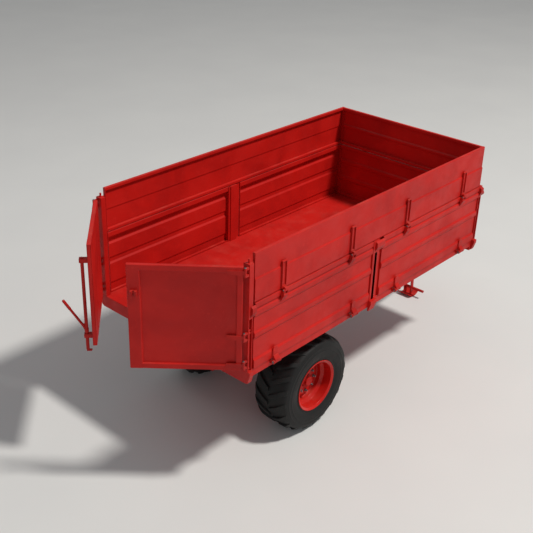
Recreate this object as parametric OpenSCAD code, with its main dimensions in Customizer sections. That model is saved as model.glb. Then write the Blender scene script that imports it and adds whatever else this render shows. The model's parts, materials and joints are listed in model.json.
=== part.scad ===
// Single-axle drop-side tipping trailer for grain.
// Millimetres, +X forward, +Y left, +Z up, ground at z = 0.
// The load box's own parts are drawn from the rear end of the side boards, floor top at zero.

/* [Load box] */
// Length of the side boards and extension boards
board_l = 4350; // [4250:10:4500]
// Width over the outer faces of the boards
body_w = 2300; // [2280:10:2340]
// Height of the floor's top face above the ground
floor_z = 1460; // [1450:5:1480]
// Height of the lower drop sides above the floor
side_h = 775; // [770:5:785]
// Height of the extension boards
ext_h = 540; // [500:5:545]
// Depth of a board from its inner to its outer face
board_t = 36; // [32:1:40]
// Thickness of the folded sheet in boards and doors
sheet_t = 4; // [3:0.5:5]
// How far a pressed rib stands out of a board
rib = 16; // [12:1:16]
// Thickness of the floor plate
floor_t = 5; // [4:1:8]
// Height of the platform frame with its floor plate
frame_h = 150; // [140:5:160]
// Height of the frame's side members with the floor plate
side_frame_h = 95; // [90:5:110]
// Width of the platform frame's flanges
frame_w = 90; // [80:5:100]
// Number of cross bearers under the floor
bearer_count = 7; // [5:1:9]

/* [Posts and latch levers] */
// Length of a corner post along the trailer
post_l = 60; // [60:1:70]
// Length of the centre post along the trailer
mid_post_l = 110; // [100:2:120]
// Place of the centre post ahead of the boards' rear end
mid_post_x = 2055; // [2030:5:2080]
// Gap between the centre post and the front drop side
mid_gap = 80; // [60:5:90]
// Gap between the rear posts and the boards
rear_gap = 30; // [25:1:35]
// How far the posts stand out of the boards' outer face
post_proud = 15; // [14:1:18]
// Height of the rear posts above the floor
rear_post_h = 1235; // [1230:5:1260]
// Height of a lever's pivot above the floor
lever_z = 450; // [440:5:470]
// Length of a lever below its pivot
lever_l = 425; // [400:5:430]

/* [Rear doors] */
// Width of one door
door_w = 1127; // [1120:1:1130]
// Height of a door
door_h = 1180; // [1150:5:1190]
// Thickness of a door
door_t = 45; // [40:1:45]
// Gap between the floor and a door's lower edge
door_gap = 40; // [35:1:50]
// How far each door stands open
door_open = 42; // [30:1:60]

/* [Hinges] */
// Radius of the drop sides' hinge pins
pin_r = 8; // [7:0.5:9]
// Radial clearance of a moving knuckle on its pin
fit = 0.3; // [0.2:0.05:0.4]
// How far the bottom hinge axis stands out of the boards
low_hinge_out = 45; // [42:1:48]
// How far the bottom hinge axis lies below the floor
low_hinge_drop = 30; // [28:1:34]
// How far the rail hinge axis stands out of the boards
rail_hinge_out = 48; // [47:1:52]

/* [Chassis] */
// Distance of the axle ahead of the boards' rear end
axle_x = 1220; // [1150:10:1300]
// Inner face of a chassis rail from the centre line
rail_y = 320; // [300:5:330]
// Width of a chassis rail
rail_w = 100; // [90:5:100]
// Height of a chassis rail
rail_h = 180; // [160:5:200]
// Height of the bearers between the rails and the box
bearer_h = 120; // [110:5:130]
// Wall of the rectangular tubes
tube_t = 6; // [5:0.5:8]
// Distance of the tipping pin ahead of the boards' rear end
tip_x = 150; // [140:5:170]
// Radius of a tipping pin
tip_pin_r = 25; // [22:1:28]
// Distance of the towing eye ahead of the boards' rear end
eye_x = 5620; // [5560:10:5700]
// Height of the towing eye above the ground
eye_z = 700; // [680:5:720]
// Radius of the towing eye's bore
eye_r = 25; // [20:0.5:26]

/* [Wheels] */
// Outer radius of a tyre
tyre_r = 600; // [580:5:610]
// Width of a tyre
tyre_w = 500; // [440:10:510]
// Outer face of a tyre from the centre line
tyre_out = 1080; // [1060:5:1100]
// Outer radius of the rim's flange
rim_r = 320; // [310:2:330]
// Number of tread lugs in each row
lug_count = 20; // [16:1:24]
// Number of wheel studs
stud_count = 8; // [6:1:10]
// Radius of the circle the studs stand on
stud_circle = 137.5; // [130:0.5:140]

/* [Tipping ram] */
// Distance of the ram ahead of the boards' rear end
ram_x = 1750; // [1740:5:1770]
// Height of the ram's pivot above the ground
ram_z = 830; // [820:5:840]
// Length of each ram tube
ram_l = 455; // [440:5:455]
// Outer radius of the ram's barrel
ram_r = 80; // [76:1:84]
// Step in radius from one ram tube to the next
ram_step = 13; // [12:0.5:13]

/* [Parking stand] */
// Distance of the stand's pivot ahead of the boards' rear end
stand_x = 4750; // [4730:5:4780]
// Height of the stand's pivot above the ground
stand_z = 700; // [690:5:710]
// How far the skid stands ahead of the pivot
stand_lead = 50; // [40:5:60]
// Radius of the curved skid
skid_r = 160; // [150:5:180]

/* [Hidden] */
$fn = 48;

paint = "#b5271f";
shaded_paint = "#8f1f19";
steel = "#8d9093";
rubber = "#232321";

half_w = body_w / 2;
inner_y = half_w - board_t;
post_out = half_w + post_proud;
post_gap = 3;
post_depth = 85;
rear_x = -rear_gap - post_l;
front_x = board_l + post_gap + post_l;
ext_gap = 10;
ext_z = side_h + ext_gap;
board_gap = 12;
end_gap = 5;
wall_x = board_l - board_t;
wall_y = inner_y - 1.5;
low_knuckle_l = 72;
low_y = half_w + low_hinge_out;
low_z = -low_hinge_drop;
rail_axis_y = half_w + rail_hinge_out;
rail_axis_z = side_h + 5;
bolt_r = 10;

// Driving places along the sides
rear_board = [end_gap, mid_post_x - mid_post_l / 2 - board_gap];
front_board = [mid_post_x + mid_post_l / 2 + mid_gap, board_l - end_gap];
hinge_inset = 0.16;
strap_inset = 0.21;
function along(board, share) = board[0] + share * (board[1] - board[0]);
function two_places(board, inset) = [along(board, inset), along(board, 1 - inset)];
low_hinges = concat(two_places(rear_board, hinge_inset), two_places(front_board, hinge_inset));
post_centres = [rear_x + post_l / 2, mid_post_x, front_x - post_l / 2];

door_axis_x = rear_x - post_gap - door_t;
door_axis_y = half_w;
door_in = 18;
door_out = door_in + door_w;
door_hinge_z = [0.05 * door_h, 0.33 * door_h, 0.95 * door_h];
stile_w = 130;
door_rail_w = 60;
rod_off = 60;
rod_inset = 65;
rod_r = 18;
handle_out = 225;
handle_up = 360;
handle_z = 200;

bearer_z = -frame_h - bearer_h;
rail_gap = 2;
rail_top = bearer_z - rail_gap;
rail_bottom = rail_top - rail_h;
rail_front = board_l - 120;
tip_z = rail_top - 78;
tip_boss_r = 65;

tyre_mid = tyre_out - tyre_w / 2;
bead_r = rim_r - 26;
well_r = rim_r - 58;
rim_half = 0.48 * tyre_w;
disc_s = 60;
disc_t = 12;
axle_half = 540;
stub_r = 35;

draw_start = [3250, rail_y + rail_w / 2, floor_z + rail_bottom - 60];
draw_end = [eye_x - 220, 55, eye_z];
draw_w = 90;
draw_h = 118;
nose_x = eye_x - 170;

// The handle's free end is the rearmost point, and the eye's rim the foremost
handle_r = 15;
rod_u = door_out - rod_inset;
handle_tilt = cos(door_open) * handle_out / norm([handle_out, handle_up]);
handle_reach = sin(door_open) * rod_u + cos(door_open) * (rod_off + handle_out);
rear_reach = door_axis_x - handle_reach - handle_r * sqrt(1 - handle_tilt * handle_tilt);
eye_outer_r = 62;
mid_x = (eye_x + eye_outer_r + rear_reach) / 2;

// ---- shared helpers ----

module bed() translate([-mid_x, 0, floor_z]) children();

module ground() translate([-mid_x, 0, 0]) children();

module flip() mirror([0, 1, 0]) children();

module both_sides() {
    children();
    flip() children();
}

module block(lo, hi) translate(lo) cube(hi - lo);

// Solid prism along X from an outline given as [y, z]
module along_x(x0, x1, outline)
    translate([x0, 0, 0])
        rotate([90, 0, 90])
            linear_extrude(x1 - x0) polygon(outline);

// Solid prism along Y from an outline given as [x, z]
module along_y(y0, y1, outline)
    translate([0, y1, 0])
        rotate([90, 0, 0])
            linear_extrude(y1 - y0) polygon(outline);

module disc_x(x0, x1, y, z, r)
    translate([x0, y, z]) rotate([0, 90, 0]) cylinder(r = r, h = x1 - x0);

module disc_y(y0, y1, x, z, r)
    translate([x, y0, z]) rotate([-90, 0, 0]) cylinder(r = r, h = y1 - y0);

module disc_z(z0, z1, x, y, r)
    translate([x, y, z0]) cylinder(r = r, h = z1 - z0);

module round_bar(p, q, r) {
    v = q - p;
    translate(p)
        rotate([0, acos(v[2] / norm(v)), atan2(v[1], v[0])])
            cylinder(r = r, h = norm(v));
}

// Rectangular tube from p to q, w across and h high, at the centre line
module tube(p, q, w, h, wall) {
    v = q - p;
    l = norm(v);
    translate(p)
        rotate([0, -asin(v[2] / l), atan2(v[1], v[0])])
            difference() {
                block([0, -w / 2, -h / 2], [l, w / 2, h / 2]);
                block([-1, wall - w / 2, wall - h / 2], [l + 1, w / 2 - wall, h / 2 - wall]);
            }
}

// Folded sheet: each point is [height, how far it stands out]
function sheet_outline(face, folds) = concat(
    [for (p = folds) [face + p[1], p[0]]],
    [for (i = [len(folds) - 1:-1:0]) [face + folds[i][1] - sheet_t, folds[i][0]]]
);

// ---- boards ----

// Heights of the pressed ribs in a lower side, from its bottom edge to its rail
function side_folds(h) = [
    [5, rib], [0.12 * h, rib], [0.15 * h, 0], [0.45 * h, 0], [0.48 * h, rib], [0.54 * h, rib],
    [0.57 * h, 0], [0.78 * h, 0], [0.81 * h, rib], [0.87 * h, rib], [0.9 * h, 0], [0.91 * h, 0],
    [0.92 * h, rib], [h, rib]
];

function ext_folds(h) = [
    [0, 10], [0.465 * h, 10], [0.495 * h, 0], [h, 0]
];

module end_caps(board, y0, y1, z0, z1, t)
    for (x = [board[0], board[1] - t])
        block([x, y0, z0], [x + t, y1, z1]);

module drop_side(board) {
    cap_t = 8;
    rail_z = 0.92 * side_h;
    along_x(board[0], board[1], sheet_outline(half_w, side_folds(side_h)));
    end_caps(board, inner_y, half_w, 5, side_h, cap_t);
    difference() {
        block([board[0], inner_y, rail_z], [board[1], half_w + rib, side_h]);
        block([board[0] + cap_t, inner_y + sheet_t, rail_z + sheet_t],
              [board[1] - cap_t, half_w + rib - sheet_t, side_h - sheet_t]);
    }
    block([board[0], inner_y, 5], [board[1], half_w, 5 + sheet_t]);
}

module extension() {
    board = [0, board_l];
    cap_t = 8;
    edge_h = 38;
    translate([0, 0, ext_z]) {
        along_x(board[0], board[1], sheet_outline(half_w, ext_folds(ext_h)));
        end_caps(board, inner_y, half_w, 0, ext_h, cap_t);
        for (z = [0, ext_h - edge_h])
            difference() {
                block([board[0], inner_y, z], [board[1], half_w, z + edge_h]);
                block([board[0] + cap_t, inner_y + sheet_t, z + sheet_t],
                      [board[1] - cap_t, half_w - sheet_t, z + edge_h - sheet_t]);
            }
    }
}

// Bottom hinge strap with its knuckle
module low_strap(x) {
    half = low_knuckle_l / 2;
    strap_t = 16;
    knuckle_r = 21;
    difference() {
        union() {
            block([x - half, half_w + rib, 6], [x + half, half_w + rib + strap_t, 140]);
            block([x - half, half_w + rib + strap_t - 4, low_z], [x + half, low_y + knuckle_r, 40]);
            disc_x(x - half, x + half, low_y, low_z, knuckle_r);
        }
        disc_x(x - half - 1, x + half + 1, low_y, low_z, pin_r + fit);
    }
}

// Lower leaf of a rail hinge: a wedge with two ears
module rail_leaf(x) {
    half = 35;
    gap = 20;
    knuckle_r = 14;
    leaf_y = half_w + rib;
    leaf_top = rail_axis_z - 45;
    along_x(x - half, x + half, [
        [leaf_y, leaf_top], [rail_axis_y + 8, leaf_top], [rail_axis_y + 8, leaf_top - 15], [leaf_y, leaf_top - 90]
    ]);
    for (x0 = [x - half, x + gap])
        difference() {
            union() {
                block([x0, leaf_y, leaf_top], [x0 + half - gap, rail_axis_y, rail_axis_z - knuckle_r]);
                block([x0, rail_axis_y - knuckle_r, leaf_top],
                      [x0 + half - gap, rail_axis_y + knuckle_r, rail_axis_z]);
                disc_x(x0, x0 + half - gap, rail_axis_y, rail_axis_z, knuckle_r);
            }
            disc_x(x0 - 1, x0 + half, rail_axis_y, rail_axis_z, pin_r + fit - 1);
        }
}

// Channel strap of an extension board, with its knuckle and pin
module ext_strap(x) {
    half = 35;
    knuckle = 19;
    knuckle_r = 14;
    base_y = half_w + 10;
    strap_t = 20;
    strap_top = ext_z + 0.6 * ext_h;
    difference() {
        block([x - half, base_y, ext_z + 12], [x + half, base_y + strap_t, strap_top]);
        block([x - half + 10, base_y + 6, ext_z + 40],
              [x + half - 10, base_y + strap_t + 1, strap_top - 12]);
    }
    block([x - knuckle, base_y + strap_t - 4, rail_axis_z],
          [x + knuckle, rail_axis_y + knuckle_r, rail_axis_z + 35]);
    disc_x(x - knuckle, x + knuckle, rail_axis_y, rail_axis_z, knuckle_r);
    disc_x(x - half - 4, x + half + 4, rail_axis_y, rail_axis_z, pin_r - 1);
}

module ironwork(board) {
    for (x = two_places(board, hinge_inset)) low_strap(x);
    for (x = two_places(board, strap_inset)) rail_leaf(x);
}

module straps()
    for (board = [rear_board, front_board], x = two_places(board, strap_inset))
        ext_strap(x);

module left_rear_side() color(paint) bed() drop_side(rear_board);

module left_front_side() color(paint) bed() drop_side(front_board);

module left_rear_ironwork() color(shaded_paint) bed() ironwork(rear_board);

module left_front_ironwork() color(shaded_paint) bed() ironwork(front_board);

module left_extension_board() color(paint) bed() extension();

module left_extension_straps() color(shaded_paint) bed() straps();

module right_rear_side() flip() left_rear_side();

module right_front_side() flip() left_front_side();

module right_rear_ironwork() flip() left_rear_ironwork();

module right_front_ironwork() flip() left_front_ironwork();

module right_extension_board() flip() left_extension_board();

module right_extension_straps() flip() left_extension_straps();

// ---- platform ----

module floor_plate() color(paint) bed()
    block([rear_x, -half_w, -floor_t], [front_x, half_w, 0]);

// Channel across the box, open to the front
module cross_bearer(x) {
    w = 60;
    z0 = tube_t - frame_h;
    z1 = -floor_t - tube_t;
    span = half_w - frame_w;
    block([x, -span, z0], [x + tube_t, span, z1]);
    for (z = [z0, z1 - tube_t])
        block([x, -span, z], [x + w, span, z + tube_t]);
}

// Rectangular tube along a principal axis, its ends closed
module closed_tube(lo, hi)
    difference() {
        block(lo, hi);
        block(lo + [tube_t, tube_t, tube_t], hi - [tube_t, tube_t, tube_t]);
    }

module platform_frame() color(paint) bed() {
    closed_tube([rear_x, -half_w, -frame_h], [rear_x + frame_w, half_w, -floor_t]);
    closed_tube([front_x - frame_w, -half_w, -frame_h], [front_x, half_w, -floor_t]);
    both_sides() closed_tube([rear_x + frame_w, half_w - frame_w, -side_frame_h],
                             [front_x - frame_w, half_w, -floor_t]);
    for (i = [1:bearer_count])
        cross_bearer(rear_x + i * (front_x - rear_x) / (bearer_count + 1));
}

module tip_lug() {
    lug_y = rail_y + rail_w + 5;
    lug_t = 20;
    lug_r = 55;
    difference() {
        union() {
            block([tip_x - lug_r, lug_y, tip_z], [tip_x + lug_r, lug_y + lug_t, -frame_h]);
            disc_y(lug_y, lug_y + lug_t, tip_x, tip_z, lug_r);
            block([tip_x - lug_r, lug_y - 5, bearer_z + 10], [tip_x + lug_r, lug_y, -frame_h - 10]);
        }
        disc_y(lug_y - 1, lug_y + lug_t + 1, tip_x, tip_z, tip_pin_r + fit);
    }
}

module tip_bearers() color(paint) bed() both_sides() {
    bearer_mid = (bearer_z - frame_h) / 2;
    rail_mid = rail_y + rail_w / 2;
    tube([rear_x + 30, rail_mid, bearer_mid], [rail_front, rail_mid, bearer_mid], rail_w, bearer_h, tube_t);
    tip_lug();
}

module ram_pad() color(steel) bed() {
    pad_t = 10;
    block([ram_x - 130, -rail_y, -frame_h - pad_t], [ram_x + 130, rail_y, -frame_h]);
}

// ---- posts ----

slot_w = 42;
slot_y = post_out - 62;
lever_y = post_out - 25;
foot_out = 45;
infill_y = inner_y + 14;

// Post standing on the floor, with a slot for its lever and a tapered foot outside the frame
module post(x0, x1, y0, h) {
    xc = (x0 + x1) / 2;
    foot_z = 10 - frame_h;
    difference() {
        block([x0, y0, 0], [x1, post_out, h]);
        block([xc - slot_w / 2, max(slot_y, y0 + 6), 8], [xc + slot_w / 2, post_out + 1, 0.8 * side_h]);
        disc_x(x0 - 1, x1 + 1, lever_y, lever_z, pin_r + fit);
    }
    along_x(x0, x1, [
        [half_w, 0], [half_w + foot_out, 0], [half_w + foot_out, -0.3 * frame_h],
        [half_w + 15, foot_z], [half_w, foot_z]
    ]);
}

// Strip that closes the gap between a post and the board beside it
module infill(x0, x1, h) block([x0, infill_y, 0], [x1, infill_y + tube_t, h]);

module rear_post() {
    hollow_y = slot_y - tube_t;
    difference() {
        post(rear_x, rear_x + post_l, post_out - post_depth, rear_post_h);
        block([rear_x + tube_t, post_out - post_depth + tube_t, -1],
              [rear_x + post_l - tube_t, hollow_y, rear_post_h - tube_t]);
        block([rear_x + tube_t, post_out - post_depth + tube_t, 0.85 * side_h],
              [rear_x + post_l - tube_t, post_out - tube_t, rear_post_h - tube_t]);
    }
    disc_z(rear_post_h, rear_post_h + 45, post_centres[0], post_out - 40, 11);
    infill(rear_x + post_l, -post_gap, rear_post_h);
}

module rear_posts() color(paint) bed() both_sides() rear_post();

module centre_posts() color(paint) bed() both_sides() {
    x1 = mid_post_x + mid_post_l / 2;
    x0 = x1 - mid_post_l;
    post(x0, x1, inner_y - 20, side_h);
    infill(x1, front_board[0] - post_gap, side_h);
    block([x0 - 30, inner_y - 8, 0], [x0, inner_y - 2, side_h]);
}

module front_posts() color(paint) bed() both_sides()
    post(front_x - post_l, front_x, post_out - post_depth, side_h);

// Wedge-shaped catches on the posts, reaching across the gap to the next board
rail_catch_x = [
    [post_centres[0], end_gap - 4], [mid_post_x - 20, front_board[0] - 4], [front_x - post_l, front_x]
];

module rail_catches() color(shaded_paint) bed() both_sides() {
    knob_r = 34;
    for (x = rail_catch_x)
        along_x(x[0], x[1], [
            [post_out, 0.82 * side_h], [post_out + 27, 0.89 * side_h],
            [post_out + 27, 0.96 * side_h], [post_out, 0.98 * side_h]
        ]);
    disc_x(front_x, front_x + 75, post_out - knob_r, 0.84 * side_h, knob_r);
}

// Lever hanging in a post, with a short hook arm above its pivot
module lever(x, pin_half) color(shaded_paint) bed() {
    half = 15;
    t = 8;
    block([x - half, lever_y - t, lever_z - lever_l], [x + half, lever_y + t, lever_z]);
    block([x - half, lever_y - t, lever_z], [x + half, lever_y + t, lever_z + 42]);
    block([x - half, lever_y - t, lever_z + 30], [x + half, lever_y + 2 * t, lever_z + 42]);
    disc_x(x - half - 4, x + half + 4, lever_y, lever_z, 16);
    disc_x(x - pin_half, x + pin_half, lever_y, lever_z, pin_r);
    disc_x(x - half, x + half, lever_y + t / 2, lever_z - lever_l, 12);
}

module left_rear_lever() lever(post_centres[0], post_l / 2 - 4);

module left_centre_lever() lever(post_centres[1], mid_post_l / 2 - 4);

module left_front_lever() lever(post_centres[2], post_l / 2 - 4);

module right_rear_lever() flip() left_rear_lever();

module right_centre_lever() flip() left_centre_lever();

module right_front_lever() flip() left_front_lever();

// ---- front wall ----

module wall_panel(z0, h, folds) {
    cap_t = 8;
    edge_h = 40;
    translate([0, 0, z0]) {
        along_y(-wall_y, wall_y, sheet_outline(board_l, folds));
        for (y = [-wall_y, wall_y - cap_t])
            block([wall_x, y, 0], [board_l, y + cap_t, h]);
        for (z = [0, h - edge_h])
            difference() {
                block([wall_x, -wall_y, z], [board_l, wall_y, z + edge_h]);
                block([wall_x + sheet_t, cap_t - wall_y, z + sheet_t],
                      [board_l - sheet_t, wall_y - cap_t, z + edge_h - sheet_t]);
            }
    }
}

function wall_folds(h) = [
    [0, 0], [0.3 * h, 0], [0.33 * h, -rib], [0.37 * h, -rib], [0.4 * h, 0],
    [0.63 * h, 0], [0.66 * h, -rib], [0.7 * h, -rib], [0.73 * h, 0], [h, 0]
];

function wall_ext_folds(h) = [
    [0, 0], [0.46 * h, 0], [0.49 * h, -rib], [0.53 * h, -rib], [0.56 * h, 0], [h, 0]
];

module front_wall() color(paint) bed() wall_panel(0, side_h, wall_folds(side_h));

module front_wall_extension() color(paint) bed() {
    stake_w = 60;
    stake_t = 30;
    wall_panel(ext_z, ext_h, wall_ext_folds(ext_h));
    for (y = [-0.62, 0.62] * half_w)
        difference() {
            block([board_l, y - stake_w / 2, 0.5 * side_h],
                  [board_l + stake_t, y + stake_w / 2, ext_z + 0.9 * ext_h]);
            block([board_l + tube_t, y - stake_w / 2 + tube_t, 0.5 * side_h - 1],
                  [board_l + stake_t + 1, y + stake_w / 2 - tube_t, ext_z + 0.9 * ext_h + 1]);
        }
}

// ---- drop side hinges on the frame ----

lug_ear = 16;

module hinge_lug(x) {
    inner = low_knuckle_l / 2 + 2;
    ear = lug_ear;
    ear_r = 23;
    for (x0 = [x - inner - ear, x + inner])
        difference() {
            union() {
                block([x0, half_w, low_z - ear_r], [x0 + ear, low_y, low_z + 12]);
                disc_x(x0, x0 + ear, low_y, low_z, ear_r);
            }
            disc_x(x0 - 1, x0 + ear + 1, low_y, low_z, pin_r);
        }
}

module side_hinge_lugs() color(shaded_paint) bed() both_sides()
    for (x = low_hinges) hinge_lug(x);

module side_hinge_pins() color(steel) bed() both_sides()
    for (x = low_hinges) {
        reach = low_knuckle_l / 2 + 2 + lug_ear;
        disc_x(x - reach, x + reach + 4, low_y, low_z, pin_r);
        disc_x(x - reach - 8, x - reach, low_y, low_z, pin_r + 5);
    }

// ---- rear doors, drawn closed and then swung open ----

module swung() translate([door_axis_x, door_axis_y, 0]) rotate(-door_open) children();

// One door about its own hinge axis: -Y along the door, +X through its thickness
module door_panel() {
    u0 = door_in;
    u1 = door_out;
    skin = sheet_t;
    recess = 16;
    translate([0, 0, door_gap]) difference() {
        block([0, -u1, 0], [door_t, -u0, door_h]);
        block([-1, -u1 + stile_w, door_rail_w], [recess, -u0 - door_rail_w, door_h - door_rail_w]);
        block([recess + skin, -u1 + stile_w, door_rail_w],
              [door_t - skin, -u0 - door_rail_w, door_h - door_rail_w]);
        for (y = [[-u1 + skin, -u1 + stile_w - skin], [-u0 - door_rail_w + skin, -u0 - skin]])
            block([skin, y[0], -1], [door_t - skin, y[1], door_h - skin]);
        for (z = [skin, door_h - door_rail_w + skin])
            block([skin, -u1 + 2 * skin, z],
                  [door_t - skin, -u0 - 2 * skin, z + door_rail_w - 2 * skin]);
    }
}

module door_strap(z) {
    strap_l = 175;
    t = 8;
    half = 25;
    knuckle_r = 13;
    translate([0, 0, door_gap + z]) difference() {
        union() {
            block([-t, -strap_l, -half], [0, 0, half]);
            disc_z(-half, half, 0, 0, knuckle_r);
        }
        disc_z(-half - 1, half + 1, 0, 0, pin_r + fit);
    }
}

module left_door() color(paint) bed() swung() door_panel();

module left_door_hinges() color(shaded_paint) bed() swung()
    for (z = door_hinge_z) door_strap(z);

module right_door() flip() left_door();

module right_door_hinges() flip() left_door_hinges();

module door_hinge_brackets() color(shaded_paint) bed() both_sides()
    for (z = door_hinge_z, dz = [-50, 26])
        translate([door_axis_x, door_axis_y, door_gap + z + dz])
            difference() {
                union() {
                    block([0, -10, 0], [rear_x - door_axis_x, 10, 24]);
                    cylinder(r = 13, h = 24);
                }
                translate([0, 0, -1]) cylinder(r = pin_r, h = 26);
            }

module door_hinge_pins() color(steel) bed() both_sides()
    for (z = door_hinge_z) {
        disc_z(door_gap + z - 52, door_gap + z + 50, door_axis_x, door_axis_y, pin_r);
        disc_z(door_gap + z + 50, door_gap + z + 56, door_axis_x, door_axis_y, pin_r + 4);
    }

rod_top = 0.86 * door_h;
bracket_z = [0.08 * door_h, 0.83 * door_h];

module lock_brackets() color(shaded_paint) bed() swung()
    for (z = bracket_z)
        translate([0, -rod_u, door_gap + z]) difference() {
            block([-rod_off - 28, -28, -22], [0, 28, 22]);
            disc_z(-23, 23, -rod_off, 0, rod_r + fit);
        }

module lock_rod() color(shaded_paint) bed() swung()
    translate([-rod_off, -rod_u, 0]) {
        disc_z(-door_gap, door_gap + rod_top, 0, 0, rod_r);
        block([-12, -12, -door_gap - 20], [45, 12, -door_gap]);
        round_bar([0, 0, handle_z], [-handle_out, 0, handle_z + handle_up], handle_r);
    }

module lock_keeper() color(shaded_paint) bed() flip() swung()
    translate([0, -rod_u, door_gap + 0.74 * door_h]) difference() {
        block([-45, -35, -35], [0, 35, 35]);
        block([-46, -12, -36], [-18, 12, 36]);
    }

// ---- chassis ----

module chassis_rails() color(paint) bed() both_sides() {
    rail_mid = rail_y + rail_w / 2;
    mid = (rail_top + rail_bottom) / 2;
    difference() {
        union() {
            tube([tip_x, rail_mid, mid], [rail_front, rail_mid, mid], rail_w, rail_h, tube_t);
            disc_y(rail_y, rail_y + rail_w, tip_x, tip_z, tip_boss_r);
        }
        disc_y(rail_y - 1, rail_y + rail_w + 1, tip_x, tip_z, tip_pin_r);
    }
}

module cross_members() color(paint) bed() {
    z = rail_bottom + rail_h / 2;
    for (x = [420, 1420, 1980, 3000, rail_front - 60])
        tube([x, -rail_y, z], [x, rail_y, z], 80, 120, tube_t);
}

module tip_pins() color(steel) bed() both_sides() {
    pin_end = rail_y + rail_w + 35;
    disc_y(rail_y - 15, pin_end, tip_x, tip_z, tip_pin_r);
    disc_y(pin_end, pin_end + 8, tip_x, tip_z, tip_pin_r + 12);
}

module axle_brackets() color(paint) ground() both_sides() {
    top = floor_z + rail_bottom;
    low = tyre_r + 50;
    plate_t = 12;
    for (y = [rail_y + 12, rail_y + rail_w - 24])
        along_y(y, y + plate_t, [
            [axle_x - 250, top], [axle_x - 80, low + 14], [axle_x + 80, low + 14], [axle_x + 250, top]
        ]);
    block([axle_x - 90, rail_y, low], [axle_x + 90, rail_y + rail_w, low + 14]);
}

module axle_beam() color(paint) ground() {
    tube([axle_x, -axle_half, tyre_r], [axle_x, axle_half, tyre_r], 100, 100, 10);
    both_sides() disc_y(axle_half - 60, tyre_mid + 80, axle_x, tyre_r, stub_r);
    both_sides() block([axle_x - 50, axle_half, tyre_r - 50], [axle_x + 50, axle_half + 12, tyre_r + 50]);
}

// ---- tipping ram ----

module ram_cradle() color(paint) ground() both_sides() {
    y = ram_r + 30;
    hang_z = floor_z + rail_bottom + 30;
    tube([1460, y + 10, hang_z + 20], [1940, y + 10, hang_z + 20], 40, 40, 5);
    difference() {
        union() {
            block([ram_x - 70, y, ram_z], [ram_x + 70, y + 20, hang_z]);
            disc_y(y, y + 20, ram_x, ram_z, 45);
        }
        disc_y(y - 1, y + 21, ram_x, ram_z, 20 + fit);
    }
}

module ram_tube(k, top) {
    z0 = ram_z - 40 + 6 * k;
    r = ram_r - ram_step * k;
    plug = 5;
    difference() {
        disc_z(z0, z0 + ram_l + top, ram_x, 0, r);
        disc_z(z0 + plug, z0 + ram_l + top + 1, ram_x, 0, r - ram_step + fit);
    }
}

module ram_barrel() color(shaded_paint) ground() {
    ram_tube(0, 0);
    both_sides() disc_y(ram_r - 8, ram_r + 60, ram_x, ram_z, 20);
}

module ram_stage_1() color(steel) ground() ram_tube(1, 4);

module ram_stage_2() color(steel) ground() ram_tube(2, 8);

module ram_stage_3() color(steel) ground() {
    z0 = ram_z - 40 + 18;
    head_z = floor_z - frame_h - 20;
    ball = 26;
    disc_z(z0, z0 + ram_l + 2, ram_x, 0, ram_r - 3 * ram_step);
    translate([ram_x, 0, head_z - ball]) sphere(r = ball);
}

// ---- drawbar and towing eye ----

module drawbar() color(paint) ground() {
    cross_x = stand_x;
    share = (cross_x - draw_start[0]) / (draw_end[0] - draw_start[0]);
    at_cross = draw_start + share * (draw_end - draw_start);
    both_sides() tube(draw_start, draw_end, draw_w, draw_h, tube_t);
    block([draw_end[0] - 60, -100, eye_z - 62], [nose_x, 100, eye_z + 62]);
    tube([cross_x, -at_cross[1] + 40, at_cross[2]], [cross_x, at_cross[1] - 40, at_cross[2]], 80, 80, tube_t);
    both_sides() difference() {
        block([stand_x - 35, 70, stand_z - 35], [stand_x + 35, 82, at_cross[2] - 37]);
        disc_y(69, 83, stand_x, stand_z, 12 + fit);
    }
}

module towing_eye() color(steel) ground() difference() {
    union() {
        block([nose_x, -90, eye_z - 60], [nose_x + 22, 90, eye_z + 60]);
        block([nose_x + 22, -32, eye_z - 22], [eye_x - eye_outer_r + 12, 32, eye_z + 22]);
        disc_z(eye_z - 20, eye_z + 20, eye_x, 0, eye_outer_r);
    }
    disc_z(eye_z - 21, eye_z + 21, eye_x, 0, eye_r);
}

module eye_bolts() color(steel) ground()
    for (y = [-65, 65], z = [-38, 38])
        translate([nose_x + 22, y, eye_z + z]) rotate([0, 90, 0])
            cylinder(r = 17, h = 14, $fn = 6);

// ---- parking stand ----

module stand_legs() color(shaded_paint) ground() {
    foot_x = stand_x + stand_lead;
    leg_y = 50;
    leg_t = 18;
    w = 28;
    both_sides() along_y(leg_y, leg_y + leg_t, [
        [stand_x - w, stand_z + 20], [stand_x + w, stand_z + 20],
        [foot_x + w, 60], [foot_x - w, 60]
    ]);
    disc_y(-95, 95, stand_x, stand_z, 12);
    disc_y(-260, leg_y + leg_t, foot_x, 130, 20);
}

module stand_skid() color(paint) ground() {
    x = stand_x + stand_lead;
    difference() {
        intersection() {
            disc_y(-110, 110, x, skid_r, skid_r);
            block([x - 120, -111, 0], [x + 120, 111, 60]);
        }
        disc_y(-112, 112, x, skid_r, skid_r - 8);
    }
    both_sides() block([x - 25, 40, 6], [x + 25, 50, 100]);
}

// ---- wheels, drawn about their own axle line ----

module wheel_axis() translate([axle_x - mid_x, tyre_mid, tyre_r]) rotate([-90, 0, 0]) children();

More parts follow.
